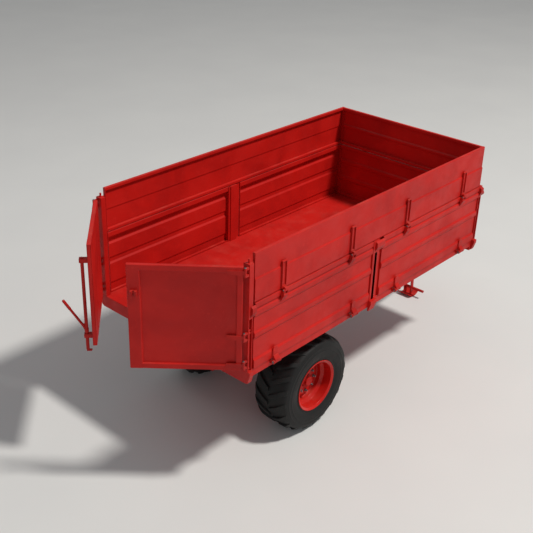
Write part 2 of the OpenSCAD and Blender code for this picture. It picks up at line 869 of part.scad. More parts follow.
module left_tyre() color(rubber) wheel_axis() {
    w = tyre_w / 2;
    base = tyre_r - 24;
    rotate_extrude($fn = 96) polygon([
        [bead_r + 1, 0.86 * w], [bead_r + 36, 0.93 * w], [0.72 * tyre_r, w], [0.87 * tyre_r, 0.97 * w],
        [0.935 * tyre_r, 0.9 * w], [base, 0.78 * w], [base, -0.78 * w], [0.935 * tyre_r, -0.9 * w],
        [0.87 * tyre_r, -0.97 * w], [0.72 * tyre_r, -w], [bead_r + 36, -0.93 * w], [bead_r + 1, -0.86 * w],
        [bead_r + 1, -0.76 * w], [bead_r + 46, -0.82 * w], [0.72 * tyre_r, -0.89 * w],
        [0.85 * tyre_r, -0.86 * w], [base - 20, -0.66 * w], [base - 20, 0.66 * w],
        [0.85 * tyre_r, 0.86 * w], [0.72 * tyre_r, 0.89 * w], [bead_r + 46, 0.82 * w], [bead_r + 1, 0.76 * w]
    ]);
    difference() {
        intersection() {
            cylinder(r = tyre_r, h = 0.96 * tyre_w, center = true, $fn = 96);
            for (i = [0:lug_count - 1], s = [-1, 1])
                rotate((i + s / 4) * 360 / lug_count)
                    translate([tyre_r - 20, 0, s * 0.23 * tyre_w])
                        rotate([s * 28, 0, 0])
                            cube([60, 52, 0.44 * tyre_w], center = true);
        }
        cylinder(r = base - 1, h = tyre_w, center = true, $fn = 96);
    }
}

module left_rim() color(paint) wheel_axis() {
    t = 7;
    lip = rim_half;
    difference() {
        rotate_extrude($fn = 96) union() {
            polygon([
                [rim_r, -lip], [rim_r, -lip + 10], [bead_r, -lip + 18], [bead_r, -120], [well_r, -90],
                [well_r, 90], [bead_r, 120], [bead_r, lip - 18], [rim_r, lip - 10], [rim_r, lip],
                [rim_r - t, lip], [bead_r - t, lip - 16], [bead_r - t, 118], [well_r - t, 88],
                [well_r - t, -88], [bead_r - t, -118], [bead_r - t, -lip + 16], [rim_r - t, -lip]
            ]);
            polygon([
                [well_r - t + 1, 20], [well_r - t + 1, 20 + disc_t], [205, 20 + disc_t],
                [175, disc_s + disc_t], [75, disc_s + disc_t], [75, disc_s], [170, disc_s], [198, 20]
            ]);
        }
        for (i = [0:stud_count - 1])
            rotate(i * 360 / stud_count)
                translate([stud_circle, 0, disc_s - 1]) cylinder(r = 11, h = disc_t + 2);
    }
}

module left_hub() color(shaded_paint) wheel_axis() {
    bore_end = 86;
    difference() {
        union() {
            translate([0, 0, -200]) cylinder(r = 88, h = 240);
            translate([0, 0, 40]) cylinder(r = 165, h = disc_s - 40);
            translate([0, 0, disc_s]) cylinder(r = 74, h = 40);
            translate([0, 0, disc_s + 40]) cylinder(r = 58, h = 30);
        }
        translate([0, 0, -201]) cylinder(r = stub_r + fit, h = 201 + bore_end);
    }
    for (i = [0:stud_count - 1])
        rotate(i * 360 / stud_count) translate([stud_circle, 0, disc_s]) {
            cylinder(r = bolt_r, h = 48);
            translate([0, 0, disc_t]) cylinder(r = 17, h = 20, $fn = 6);
        }
}

module right_tyre() flip() left_tyre();

module right_rim() flip() left_rim();

module right_hub() flip() left_hub();

floor_plate();
platform_frame();
tip_bearers();
ram_pad();
rear_posts();
centre_posts();
front_posts();
rail_catches();
front_wall();
front_wall_extension();
side_hinge_lugs();
side_hinge_pins();
door_hinge_brackets();
door_hinge_pins();
left_rear_side();
left_rear_ironwork();
left_front_side();
left_front_ironwork();
left_extension_board();
left_extension_straps();
right_rear_side();
right_rear_ironwork();
right_front_side();
right_front_ironwork();
right_extension_board();
right_extension_straps();
left_rear_lever();
left_centre_lever();
left_front_lever();
right_rear_lever();
right_centre_lever();
right_front_lever();
left_door();
left_door_hinges();
lock_brackets();
lock_rod();
right_door();
right_door_hinges();
lock_keeper();
chassis_rails();
cross_members();
axle_brackets();
axle_beam();
tip_pins();
ram_cradle();
ram_barrel();
ram_stage_1();
ram_stage_2();
ram_stage_3();
drawbar();
towing_eye();
eye_bolts();
stand_legs();
stand_skid();
left_tyre();
left_rim();
left_hub();
right_tyre();
right_rim();
right_hub();
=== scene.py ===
import json
import math

import bmesh
import bpy
from mathutils import Matrix, Vector


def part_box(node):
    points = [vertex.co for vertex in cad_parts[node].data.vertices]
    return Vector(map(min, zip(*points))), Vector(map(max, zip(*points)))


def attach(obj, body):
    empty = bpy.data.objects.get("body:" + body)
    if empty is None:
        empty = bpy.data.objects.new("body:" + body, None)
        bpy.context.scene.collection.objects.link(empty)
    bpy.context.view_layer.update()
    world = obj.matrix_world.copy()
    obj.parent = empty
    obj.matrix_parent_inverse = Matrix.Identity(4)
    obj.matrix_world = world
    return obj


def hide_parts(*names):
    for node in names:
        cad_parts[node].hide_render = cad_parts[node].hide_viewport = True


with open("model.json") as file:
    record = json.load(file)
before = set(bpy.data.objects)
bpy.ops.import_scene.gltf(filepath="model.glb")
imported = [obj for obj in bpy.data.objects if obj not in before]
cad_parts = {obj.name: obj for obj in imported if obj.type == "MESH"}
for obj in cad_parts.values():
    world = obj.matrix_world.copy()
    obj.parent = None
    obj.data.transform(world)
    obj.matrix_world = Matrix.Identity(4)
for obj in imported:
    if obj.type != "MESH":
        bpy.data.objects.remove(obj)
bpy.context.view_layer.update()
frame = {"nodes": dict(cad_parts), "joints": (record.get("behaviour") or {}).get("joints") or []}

JOINTS = {j["name"]: j for j in frame["joints"]}


# ---------------------------------------------------------------- camera

def look(azimuth, down, roll):
    """Camera axes for a view azimuth degrees from +X, down degrees below the horizon."""
    az, el, tilt = (math.radians(v) for v in (azimuth, down, roll))
    ahead = Vector((math.cos(el) * math.cos(az), math.cos(el) * math.sin(az), -math.sin(el)))
    right = ahead.cross(Vector((0, 0, 1))).normalized()
    up = right.cross(ahead)
    across = right * math.cos(tilt) + up * math.sin(tilt)
    upward = up * math.cos(tilt) - right * math.sin(tilt)
    return Matrix((across, upward, -ahead)).transposed().to_4x4()


def make_camera():
    """Main view: from the rear right and above, placed from the rear end of the upper boards."""
    azimuth, down, roll = 41.10, 27.37, 1.93
    behind_boards, to_the_right, height = 5.766, 6.326, 6.657
    data = bpy.data.cameras.new("camera")
    data.sensor_width, data.lens = 36.0, 60.93
    data.clip_start, data.clip_end = 0.1, 400.0
    cam = bpy.data.objects.new("camera", data)
    boards_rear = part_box("left_extension_board")[0].x
    place = Matrix.Translation((boards_rear - behind_boards, -to_the_right, height))
    cam.matrix_world = place @ look(azimuth, down, roll)
    bpy.context.scene.collection.objects.link(cam)
    bpy.context.scene.camera = cam


# ---------------------------------------------------------------- materials

class Nodes:
    """A short way to write a shader: each call adds a node and returns an output."""

    def __init__(self, name):
        self.mat = bpy.data.materials.new(name)
        self.mat.use_nodes = True
        self.tree = self.mat.node_tree
        self.bsdf = self.tree.nodes["Principled BSDF"]
        self.coords = self.tree.nodes.new("ShaderNodeTexCoord").outputs["Object"]

    def link(self, source, socket):
        if isinstance(source, (int, float, tuple)):
            socket.default_value = source
        else:
            self.tree.links.new(source, socket)

    def stretched(self, sx, sy, sz):
        node = self.tree.nodes.new("ShaderNodeMapping")
        node.inputs["Scale"].default_value = (sx, sy, sz)
        self.tree.links.new(self.coords, node.inputs["Vector"])
        return node.outputs["Vector"]

    def noise(self, scale, detail=3.0, rough=0.5, vector=None, warp=0.0):
        node = self.tree.nodes.new("ShaderNodeTexNoise")
        node.inputs["Scale"].default_value = scale
        node.inputs["Detail"].default_value = detail
        node.inputs["Roughness"].default_value = rough
        node.inputs["Distortion"].default_value = warp
        self.tree.links.new(vector or self.coords, node.inputs["Vector"])
        return node.outputs["Fac"]

    def ramp(self, value, low, high, out_low=0.0, out_high=1.0):
        node = self.tree.nodes.new("ShaderNodeMapRange")
        node.interpolation_type = "SMOOTHSTEP"
        for key, v in (("From Min", low), ("From Max", high), ("To Min", out_low), ("To Max", out_high)):
            node.inputs[key].default_value = v
        self.link(value, node.inputs["Value"])
        return node.outputs["Result"]

    def maths(self, kind, a, b):
        node = self.tree.nodes.new("ShaderNodeMath")
        node.operation = kind
        self.link(a, node.inputs[0])
        self.link(b, node.inputs[1])
        return node.outputs[0]

    def mix(self, share, a, b):
        node = self.tree.nodes.new("ShaderNodeMix")
        node.data_type = "RGBA"
        self.link(share, node.inputs[0])
        self.link(a, node.inputs[6])
        self.link(b, node.inputs[7])
        return node.outputs[2]

    def edges(self, radius):
        """Near 1 on convex edges and in corners, 0 on flat faces."""
        node = self.tree.nodes.new("ShaderNodeBevel")
        node.samples = 4
        node.inputs["Radius"].default_value = radius
        geometry = self.tree.nodes.new("ShaderNodeNewGeometry")
        dot = self.tree.nodes.new("ShaderNodeVectorMath")
        dot.operation = "DOT_PRODUCT"
        self.tree.links.new(node.outputs["Normal"], dot.inputs[0])
        self.tree.links.new(geometry.outputs["Normal"], dot.inputs[1])
        return self.ramp(dot.outputs["Value"], 0.97, 0.80)

    def facing_up(self):
        geometry = self.tree.nodes.new("ShaderNodeNewGeometry")
        split = self.tree.nodes.new("ShaderNodeSeparateXYZ")
        self.tree.links.new(geometry.outputs["Normal"], split.inputs[0])
        return self.ramp(split.outputs["Z"], 0.5, 0.95)

    def bump(self, layers):
        """layers is a list of (height, distance in metres)."""
        last = None
        for height, distance in layers:
            node = self.tree.nodes.new("ShaderNodeBump")
            node.inputs["Strength"].default_value = 1.0
            node.inputs["Distance"].default_value = distance
            self.tree.links.new(height, node.inputs["Height"])
            if last is not None:
                self.tree.links.new(last, node.inputs["Normal"])
            last = node.outputs["Normal"]
        self.tree.links.new(last, self.bsdf.inputs["Normal"])


def srgb(r, g, b):
    def linear(c):
        c /= 255
        return c / 12.92 if c <= 0.04045 else ((c + 0.055) / 1.055) ** 2.4
    return (linear(r), linear(g), linear(b), 1.0)


RED, DEEP_RED, LIGHT_RED = srgb(196, 28, 22), srgb(176, 22, 18), srgb(214, 46, 36)
IRON_RED, DEEP_IRON_RED = srgb(190, 27, 21), srgb(164, 20, 16)
CHASSIS_RED, DEEP_CHASSIS_RED, LIGHT_CHASSIS_RED = srgb(178, 25, 20), srgb(146, 19, 16), srgb(196, 40, 31)
WHEEL_RED, DEEP_WHEEL_RED, LIGHT_WHEEL_RED = srgb(204, 30, 22), srgb(184, 24, 18), srgb(220, 52, 40)
DUST, SPECK, RUST = srgb(178, 150, 128), srgb(150, 96, 80), srgb(104, 66, 44)
BLACK_RUBBER, GREY_RUBBER = srgb(23, 23, 23), srgb(37, 36, 34)
SCUFFED_RUBBER, WORN_RUBBER = srgb(56, 54, 50), srgb(66, 64, 60)


def paint(name, main, deep, light, dust=0.10, gloss=0.46, wave=0.0012, coat=0.03):
    """Sprayed enamel over sheet steel: soft mottling, orange peel, a little dust and rubbed edges.

    dust is how strongly it settles on upper faces, gloss the lowest roughness, wave the dents in metres.
    """
    n = Nodes(name)
    cloud = n.noise(1.7, 4.0, 0.55, warp=0.4)
    mottle = n.noise(24.0, 3.0, 0.6)
    colour = n.mix(n.ramp(cloud, 0.35, 0.68), main, deep)
    colour = n.mix(n.ramp(mottle, 0.56, 0.80, 0.0, 0.35), colour, light)
    streak = n.noise(9.0, 4.0, 0.6, n.stretched(1.0, 1.0, 0.12))
    colour = n.mix(n.ramp(streak, 0.58, 0.80, 0.0, 0.18), colour, deep)
    edge = n.edges(0.004)
    worn = n.maths("MULTIPLY", edge, n.ramp(n.noise(38.0, 3.0, 0.65), 0.40, 0.66, 0.05, 0.50))
    colour = n.mix(worn, colour, light)
    specks = n.ramp(n.noise(210.0, 2.0, 0.5), 0.70, 0.78, 0.0, 0.30)
    colour = n.mix(specks, colour, SPECK)
    settled = n.maths("MULTIPLY", n.facing_up(), n.ramp(n.noise(5.0, 5.0, 0.62), 0.42, 0.75, 0.1, 1.0))
    colour = n.mix(n.maths("MULTIPLY", settled, dust), colour, DUST)
    n.link(colour, n.bsdf.inputs["Base Color"])
    rough = n.ramp(n.noise(6.5, 4.0, 0.6), 0.3, 0.7, gloss - 0.05, gloss + 0.11)
    rough = n.maths("ADD", rough, n.maths("MULTIPLY", settled, 0.22))
    rough = n.maths("ADD", rough, n.maths("MULTIPLY", worn, 0.25))
    n.link(rough, n.bsdf.inputs["Roughness"])
    n.bsdf.inputs["Coat Weight"].default_value = coat
    n.bsdf.inputs["Coat Roughness"].default_value = 0.16
    n.bsdf.inputs["Specular IOR Level"].default_value = 0.20
    n.bump([
        (n.noise(2.2, 2.0, 0.4), wave * 6),
        (n.noise(310.0, 2.0, 0.5), 0.00012),
        (n.noise(60.0, 3.0, 0.5), 0.00022),
    ])
    return n.mat


def rubber(name, main, grey):
    """Moulded tyre rubber with a bloom of dust."""
    n = Nodes(name)
    cloud = n.noise(5.0, 5.0, 0.6)
    grain = n.noise(420.0, 2.0, 0.6)
    colour = n.mix(n.ramp(cloud, 0.42, 0.75, 0.0, 0.75), main, grey)
    scuff = n.ramp(n.noise(55.0, 4.0, 0.7), 0.60, 0.78, 0.0, 0.5)
    colour = n.mix(scuff, colour, SCUFFED_RUBBER)
    worn = n.maths("MULTIPLY", n.edges(0.006), n.ramp(n.noise(30.0, 3.0), 0.35, 0.7, 0.15, 0.75))
    colour = n.mix(worn, colour, WORN_RUBBER)
    n.link(colour, n.bsdf.inputs["Base Color"])
    n.link(n.ramp(cloud, 0.3, 0.7, 0.52, 0.72), n.bsdf.inputs["Roughness"])
    n.bsdf.inputs["Specular IOR Level"].default_value = 0.28
    n.bump([(grain, 0.00035), (n.noise(90.0, 3.0, 0.6), 0.0004)])
    return n.mat


def bare_steel(name, main, dark, rough=0.36):
    """Turned or drawn steel: fine lines along the grain, oil stains and light rust bloom."""
    n = Nodes(name)
    lines = n.noise(60.0, 4.0, 0.6, n.stretched(1.0, 1.0, 9.0))
    stain = n.noise(11.0, 5.0, 0.6)
    colour = n.mix(n.ramp(lines, 0.35, 0.7), main, dark)
    rust = n.ramp(n.noise(36.0, 5.0, 0.66), 0.60, 0.74, 0.0, 0.45)
    colour = n.mix(rust, colour, RUST)
    n.link(colour, n.bsdf.inputs["Base Color"])
    n.link(n.ramp(rust, 0.0, 0.45, 1.0, 0.55), n.bsdf.inputs["Metallic"])
    n.link(n.ramp(stain, 0.3, 0.7, rough - 0.08, rough + 0.16), n.bsdf.inputs["Roughness"])
    n.bump([(lines, 0.0002), (n.noise(260.0, 3.0, 0.6), 0.00015)])
    return n.mat


PAINT = paint("red_paint", RED, DEEP_RED, LIGHT_RED)
SHEET = paint("red_sheet", RED, DEEP_RED, LIGHT_RED, wave=0.0022)
IRON = paint("red_ironwork", IRON_RED, DEEP_IRON_RED, LIGHT_RED, dust=0.14, gloss=0.44)
LOAD = paint("red_load_space", RED, DEEP_RED, LIGHT_RED, dust=0.05, gloss=0.52, wave=0.0015, coat=0.0)
UNDER = paint("red_chassis", CHASSIS_RED, DEEP_CHASSIS_RED, LIGHT_CHASSIS_RED,
              dust=0.30, gloss=0.50, coat=0.0)
WHEEL = paint("red_wheel", WHEEL_RED, DEEP_WHEEL_RED, LIGHT_WHEEL_RED, dust=0.08, gloss=0.32, coat=0.15)
TYRE = rubber("tyre_rubber", BLACK_RUBBER, GREY_RUBBER)
STEEL = bare_steel("bare_steel", srgb(150, 151, 152), srgb(112, 113, 115))
FORGED = bare_steel("forged_steel", srgb(96, 94, 92), srgb(66, 64, 63), rough=0.5)
CHROME = bare_steel("ram_steel", srgb(176, 178, 180), srgb(150, 152, 154), rough=0.22)


# ---------------------------------------------------------------- mesh toolkit

def arc_corners(points, radius, steps=4, closed=False):
    """Rounds the corners of a polyline of 2D points."""
    out = []
    count = len(points)
    for i, p in enumerate(points):
        if not closed and i in (0, count - 1):
            out.append(Vector(p))
            continue
        a, b, c = Vector(points[i - 1]), Vector(p), Vector(points[(i + 1) % count])
        u, v = a - b, c - b
        turn = math.pi - u.angle(v, 0.0)
        reach = min(radius * math.tan(turn / 2), 0.45 * u.length, 0.45 * v.length)
        if turn < 0.05 or reach < 1e-5:
            out.append(b)
            continue
        start, end = b + u.normalized() * reach, b + v.normalized() * reach
        for k in range(steps + 1):
            t = k / steps
            out.append(start.lerp(b, t).lerp(b.lerp(end, t), t))
    return out


def rounded(points, radius, steps=4):
    """A closed outline with rounded corners, as plain pairs."""
    return [tuple(p) for p in arc_corners(points, radius, steps, closed=True)]


def looped(outline):
    """Repeats the first point at the end, which makes a turned profile a closed ring."""
    return outline + [outline[0]]


def eye_arc(axis, radius, first, last, step):
    """Points round a hinge pin that runs along X, as (y, z), from first to last degrees."""
    angles = [math.radians(d) for d in range(first, last + 1, step)]
    return [(axis.y + radius * math.cos(a), axis.z + radius * math.sin(a)) for a in angles]


class Piece:
    """Collects solids into one mesh. Each solid is cleaned, bevelled and placed before it joins."""

    def __init__(self):
        self.mesh = bmesh.new()

    def add(self, verts, faces, bevel=0.0, steps=2, angle=32, place=None, mat=0):
        part = bmesh.new()
        made = [part.verts.new(v) for v in verts]
        for f in faces:
            part.faces.new([made[i] for i in f])
        if place is not None:
            bmesh.ops.transform(part, matrix=place, verts=part.verts)
        bmesh.ops.recalc_face_normals(part, faces=part.faces)
        if bevel > 0:
            limit = math.radians(angle)
            sharp = [e for e in part.edges if e.is_manifold and e.calc_face_angle(0.0) > limit]
            bmesh.ops.bevel(part, geom=sharp, offset=bevel, offset_type="OFFSET", segments=steps,
                            profile=0.5, affect="EDGES", clamp_overlap=True)
        for f in part.faces:
            f.material_index = mat
            f.smooth = True
        scratch = bpy.data.meshes.new("scratch")
        part.to_mesh(scratch)
        part.free()
        self.mesh.from_mesh(scratch)
        bpy.data.meshes.remove(scratch)

    def box(self, lo, hi, bevel, **kw):
        x0, y0, z0 = (min(a, b) for a, b in zip(lo, hi))
        x1, y1, z1 = (max(a, b) for a, b in zip(lo, hi))
        verts = [(x, y, z) for x in (x0, x1) for y in (y0, y1) for z in (z0, z1)]
        faces = [(0, 1, 3, 2), (4, 6, 7, 5), (0, 4, 5, 1), (2, 3, 7, 6), (0, 2, 6, 4), (1, 5, 7, 3)]
        self.add(verts, faces, bevel, **kw)

    def prism(self, axis, start, end, outline, bevel=0.0, **kw):
        """outline holds the other two coordinates in XYZ order."""
        count = len(outline)

        def point(s, p):
            return (s, p[0], p[1]) if axis == "x" else (p[0], s, p[1]) if axis == "y" else (p[0], p[1], s)

        verts = [point(s, p) for s in (start, end) for p in outline]
        faces = [tuple(range(count)), tuple(range(2 * count - 1, count - 1, -1))]
        faces += [(i, (i + 1) % count, count + (i + 1) % count, count + i) for i in range(count)]
        self.add(verts, faces, bevel, **kw)

    def turned(self, base, axis, profile, segments, **kw):
        """Revolves (radius, distance) points about the line from base along axis."""
        axis = Vector(axis).normalized()
        side = axis.orthogonal().normalized()
        other = axis.cross(side)
        base = Vector(base)
        verts, rings = [], []
        for r, s in profile:
            if r < 1e-6:
                rings.append([len(verts)] * segments)
                verts.append(base + axis * s)
                continue
            rings.append(list(range(len(verts), len(verts) + segments)))
            for k in range(segments):
                a = 2 * math.pi * k / segments
                verts.append(base + axis * s + (side * math.cos(a) + other * math.sin(a)) * r)
        faces = []
        for p, q in zip(rings, rings[1:]):
            for k in range(segments):
                m = (k + 1) % segments
                loop = []
                for i in (p[k], p[m], q[m], q[k]):
                    if i not in loop:
                        loop.append(i)
                if len(loop) > 2:
                    faces.append(tuple(loop))
        for ring, first in ((rings[0], True), (rings[-1], False)):
            if len(set(ring)) > 2 and profile[0] != profile[-1]:
                faces.append(tuple(ring) if first else tuple(reversed(ring)))
        if profile[0] == profile[-1]:
            count = len(rings[0])
            last = len(verts) - count
            faces = [tuple(i - last if i >= last else i for i in f) for f in faces]
            verts = verts[:last]
        self.add(verts, faces, **kw)

    def pin(self, p, q, radius, **kw):
        """Round pin from p to q with chamfered ends."""
        p, q = Vector(p), Vector(q)
        reach = (q - p).length
        c = min(0.0015, radius * 0.4, reach * 0.4)
        profile = [(radius - c, 0.0), (radius - 0.3 * c, 0.3 * c), (radius, c), (radius, reach - c),
                   (radius - 0.3 * c, reach - 0.3 * c), (radius - c, reach)]
        self.turned(p, q - p, profile, 24, **kw)

    def nut(self, p, axis, across, height, **kw):
        """Hexagonal nut or bolt head with chamfered corners."""
        axis = Vector(axis).normalized()
        side = axis.orthogonal().normalized()
        other = axis.cross(side)
        p = Vector(p)
        radius = across / math.sqrt(3)
        verts = []
        for s, r in ((0, 1.0), (height * 0.82, 1.0), (height, 0.86)):
            for k in range(6):
                a = math.pi / 3 * k
                verts.append(p + axis * s + (side * math.cos(a) + other * math.sin(a)) * radius * r)
        faces = [tuple(range(6)), tuple(range(17, 11, -1))]
        for row in (0, 6):
            faces += [(row + k, row + (k + 1) % 6, row + 6 + (k + 1) % 6, row + 6 + k) for k in range(6)]
        self.add(verts, faces, bevel=0.0008, steps=1, **kw)

    def swept(self, path, radius, segments, **kw):
        """Round bar along a smooth path."""
        path = [Vector(p) for p in path]
        verts, rings = [], []
        normal = (path[1] - path[0]).orthogonal().normalized()
        for i, p in enumerate(path):
            ahead = (path[min(i + 1, len(path) - 1)] - path[max(i - 1, 0)]).normalized()
            normal = (normal - ahead * normal.dot(ahead)).normalized()
            other = ahead.cross(normal)
            rings.append(range(len(verts), len(verts) + segments))
            for k in range(segments):
                a = 2 * math.pi * k / segments
                verts.append(p + (normal * math.cos(a) + other * math.sin(a)) * radius)
        faces = [tuple(rings[0]), tuple(reversed(rings[-1]))]
        for p, q in zip(rings, rings[1:]):
            faces += [(p[k], p[(k + 1) % segments], q[(k + 1) % segments], q[k]) for k in range(segments)]
        self.add(verts, faces, **kw)

    def bead(self, p, q, size):
        """Weld bead from p to q: a low rippled rope of metal."""
        p, q = Vector(p), Vector(q)
        span = (q - p).length
        count = max(3, int(span / 0.010))
        ahead = (q - p) / span
        normal = ahead.orthogonal().normalized()
        other = ahead.cross(normal)
        verts, rings = [], []
        for i in range(2 * count + 1):
            t = i / (2 * count)
            r = size * (1.0 if i % 2 else 0.80) * (0.55 if i in (0, 2 * count) else 1.0)
            rings.append(range(len(verts), len(verts) + 6))
            for k in range(6):
                a = math.pi / 3 * k
                verts.append(p.lerp(q, t) + (normal * math.cos(a) + other * math.sin(a)) * r)
        faces = [tuple(rings[0]), tuple(reversed(rings[-1]))]
        for a, b in zip(rings, rings[1:]):
            faces += [(a[k], a[(k + 1) % 6], b[(k + 1) % 6], b[k]) for k in range(6)]
        self.add(verts, faces)

    def done(self, name, materials, body, node, sharp=40):
        """Makes the object, which rides on body and stands for a CAD node. Right pieces are mirrored."""
        if name.startswith("right_"):
            bmesh.ops.transform(self.mesh, matrix=Matrix.Diagonal((1, -1, 1, 1)), verts=self.mesh.verts)
            bmesh.ops.reverse_faces(self.mesh, faces=self.mesh.faces)
        data = bpy.data.meshes.new(name)
        self.mesh.to_mesh(data)
        self.mesh.free()
        data.set_sharp_from_angle(angle=math.radians(sharp))
        for material in materials if isinstance(materials, tuple) else (materials,):
            data.materials.append(material)
        obj = bpy.data.objects.new(name, data)
        bpy.context.scene.collection.objects.link(obj)
        shade = obj.modifiers.new("weighted", "WEIGHTED_NORMAL")
        shade.keep_sharp = True
        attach(obj, body)
        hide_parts(node)


def soften(obj, material, width):
    """Gives a CAD node's object a finish and small rounded edges, without touching its mesh."""
    for slot in obj.material_slots:
        slot.material = material
    weld = obj.modifiers.new("weld", "WELD")
    weld.merge_threshold = 0.00002
    flat = obj.modifiers.new("flat", "DECIMATE")
    flat.decimate_type = "DISSOLVE"
    flat.angle_limit = math.radians(0.4)
    edge = obj.modifiers.new("edge", "BEVEL")
    edge.width, edge.segments = width, 2
    edge.limit_method, edge.angle_limit = "ANGLE", math.radians(33)
    edge.use_clamp_overlap = True
    edge.miter_outer = "MITER_ARC"
    edge.harden_normals = False
    shade = obj.modifiers.new("weighted", "WEIGHTED_NORMAL")
    shade.keep_sharp = True


# ---------------------------------------------------------------- folded boards

FLOOR_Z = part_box("floor_plate")[1].z
SHEET_T = 0.004
# How far the pressed ribs stand off the sheet
RIB = 0.016
EXTENSION_RIB = 0.010
# Height of the box-folded edges of the extension boards and of the front wall's panels
BOX_EDGE = 0.038
WALL_EDGE = 0.040
# The two stakes stand this far to each side of the middle
STAKE_Y = 0.713
# An end plate's inner face lies this far from the sheet's end, and its rim this far inside the sheet
PLATE_IN = 0.008
PLATE_LAP = 0.002


def folded(path, radius):
    """Closed outline of a folded sheet: the outer face along path, the inner face behind it on its left."""
    outer = arc_corners(path, radius)
    inner = []
    for i, p in enumerate(outer):
        before = (p - outer[i - 1]).normalized() if i else None
        after = (outer[i + 1] - p).normalized() if i < len(outer) - 1 else None
        ahead = ((before or after) + (after or before)).normalized()
        lean = 1.0 if before is None or after is None else max(0.5, ahead.dot(after))
        inner.append(p + Vector((-ahead.y, ahead.x)) * SHEET_T / lean)
    return [tuple(p) for p in outer] + [tuple(p) for p in reversed(inner)]


def end_plates(first, last, inset=0.0015):
    """Start and end of the plate that closes each end of a sheet running from first to last."""
    return (first + inset, first + PLATE_IN), (last - PLATE_IN, last - inset)


def drop_side(side, place):
    """Lower side: one folded sheet with pressed ribs, a box rail on top and an end plate at each end."""
    lo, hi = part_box(f"left_{place}_side")
    face, inner, tall = hi.y - RIB, lo.y, hi.z - FLOOR_Z
    z = lambda share: FLOOR_Z + share * tall
    out = face + RIB
    plate_face, plate_out = face - PLATE_LAP, out - PLATE_LAP
    rib_ends = ((0.006, 0.006, 0.12, 0.15), (0.45, 0.48, 0.54, 0.57), (0.78, 0.81, 0.87, 0.893))
    low, rail = FLOOR_Z + 0.0016, z(0.92)
    path = [(inner, low + 0.02), (inner, low), (out, low), (out, z(0.12)), (face, z(0.15)), (face, z(0.45)),
            (out, z(0.48)), (out, z(0.54)), (face, z(0.57)), (face, z(0.78)), (out, z(0.81)),
            (out, z(0.87)), (face + 0.001, z(0.893)), (face + 0.001, z(0.912)), (out, z(0.922)),
            (out, z(1.0)), (inner, z(1.0)), (inner, rail), (face - 0.003, rail)]
    piece = Piece()
    piece.prism("x", lo.x, hi.x, folded(path, 0.007))
    for x0, x1 in end_plates(lo.x, hi.x):
        piece.box((x0, inner + 0.001, low + 0.003), (x1, face - 0.001, z(1.0) - 0.004), 0.002)
        for a, b, c, d in rib_ends:
            rib = [(plate_face, z(a)), (plate_out, z(b)), (plate_out, z(c)), (plate_face, z(d))]
            piece.prism("x", x0, x1, rib)
        at_rear = x0 < (lo.x + hi.x) / 2
        x = x1 + 0.002 if at_rear else x0 - 0.002
        piece.bead((x, face - 0.006, z(0.16)), (x, face - 0.006, z(0.45)), 0.004)
        piece.bead((x, face - 0.006, z(0.58)), (x, face - 0.006, z(0.78)), 0.004)
        outer_x = lo.x + 0.001 if at_rear else hi.x - 0.001
        piece.bead((outer_x, inner + 0.004, rail + 0.003), (outer_x, face, rail + 0.003), 0.0025)
    name = f"{side}_{place}_side"
    piece.done(f"{name}_board", SHEET, name, name, sharp=50)


def extension_board(side):
    """Extension board: its lower half stands proud, with a box edge along its top and bottom."""
    lo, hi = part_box("left_extension_board")
    out, inner = hi.y, lo.y
    face = out - EXTENSION_RIB
    plate_face, plate_out = face - PLATE_LAP, out - PLATE_LAP
    z = lambda share: lo.z + share * (hi.z - lo.z)
    low_edge, top_edge = z(0) + BOX_EDGE, z(1) - BOX_EDGE
    path = [(face - 0.001, low_edge), (inner, low_edge), (inner, z(0)), (out, z(0)), (out, z(0.465)),
            (face, z(0.495)), (face, z(1)), (inner, z(1)), (inner, top_edge), (face - 0.003, top_edge)]
    piece = Piece()
    piece.prism("x", lo.x, hi.x, folded(path, 0.006))
    for x0, x1 in end_plates(lo.x, hi.x):
        piece.box((x0, inner + 0.001, z(0) + 0.003), (x1, face - 0.001, z(1) - 0.003), 0.002)
        rib = [(plate_face, z(0) + 0.003), (plate_out, z(0) + 0.003), (plate_out, z(0.465)),
               (plate_face, z(0.495))]
        piece.prism("x", x0, x1, rib)
    for z0 in (low_edge + 0.002, top_edge - 0.002):
        for x in (lo.x + 0.011, hi.x - 0.011):
            piece.bead((x, inner + 0.004, z0), (x, face - 0.005, z0), 0.0028)
    piece.done(f"{side}_upper_board", SHEET, f"{side}_extension", f"{side}_extension_board", sharp=50)


def wall_sheet(piece, lo, hi, folds):
    """Front wall panel: the outer face looks forward and the ribs are pressed inwards."""
    z = lambda share: lo.z + share * (hi.z - lo.z)
    face, inner = hi.x, lo.x
    low_edge, top_edge = z(0) + WALL_EDGE, z(1) - WALL_EDGE
    path = [(face - 0.001, low_edge), (inner, low_edge), (inner, z(0)), (face, z(0))]
    path += [(face + out, z(share)) for share, out in folds]
    path += [(face, z(1)), (inner, z(1)), (inner, top_edge), (face - 0.003, top_edge)]
    piece.prism("y", lo.y, hi.y, folded(path, 0.007))
    for y0, y1 in end_plates(lo.y, hi.y, 0.001):
        piece.box((inner + 0.001, y0, z(0) + 0.003), (face - 0.001, y1, z(1) - 0.003), 0.002)


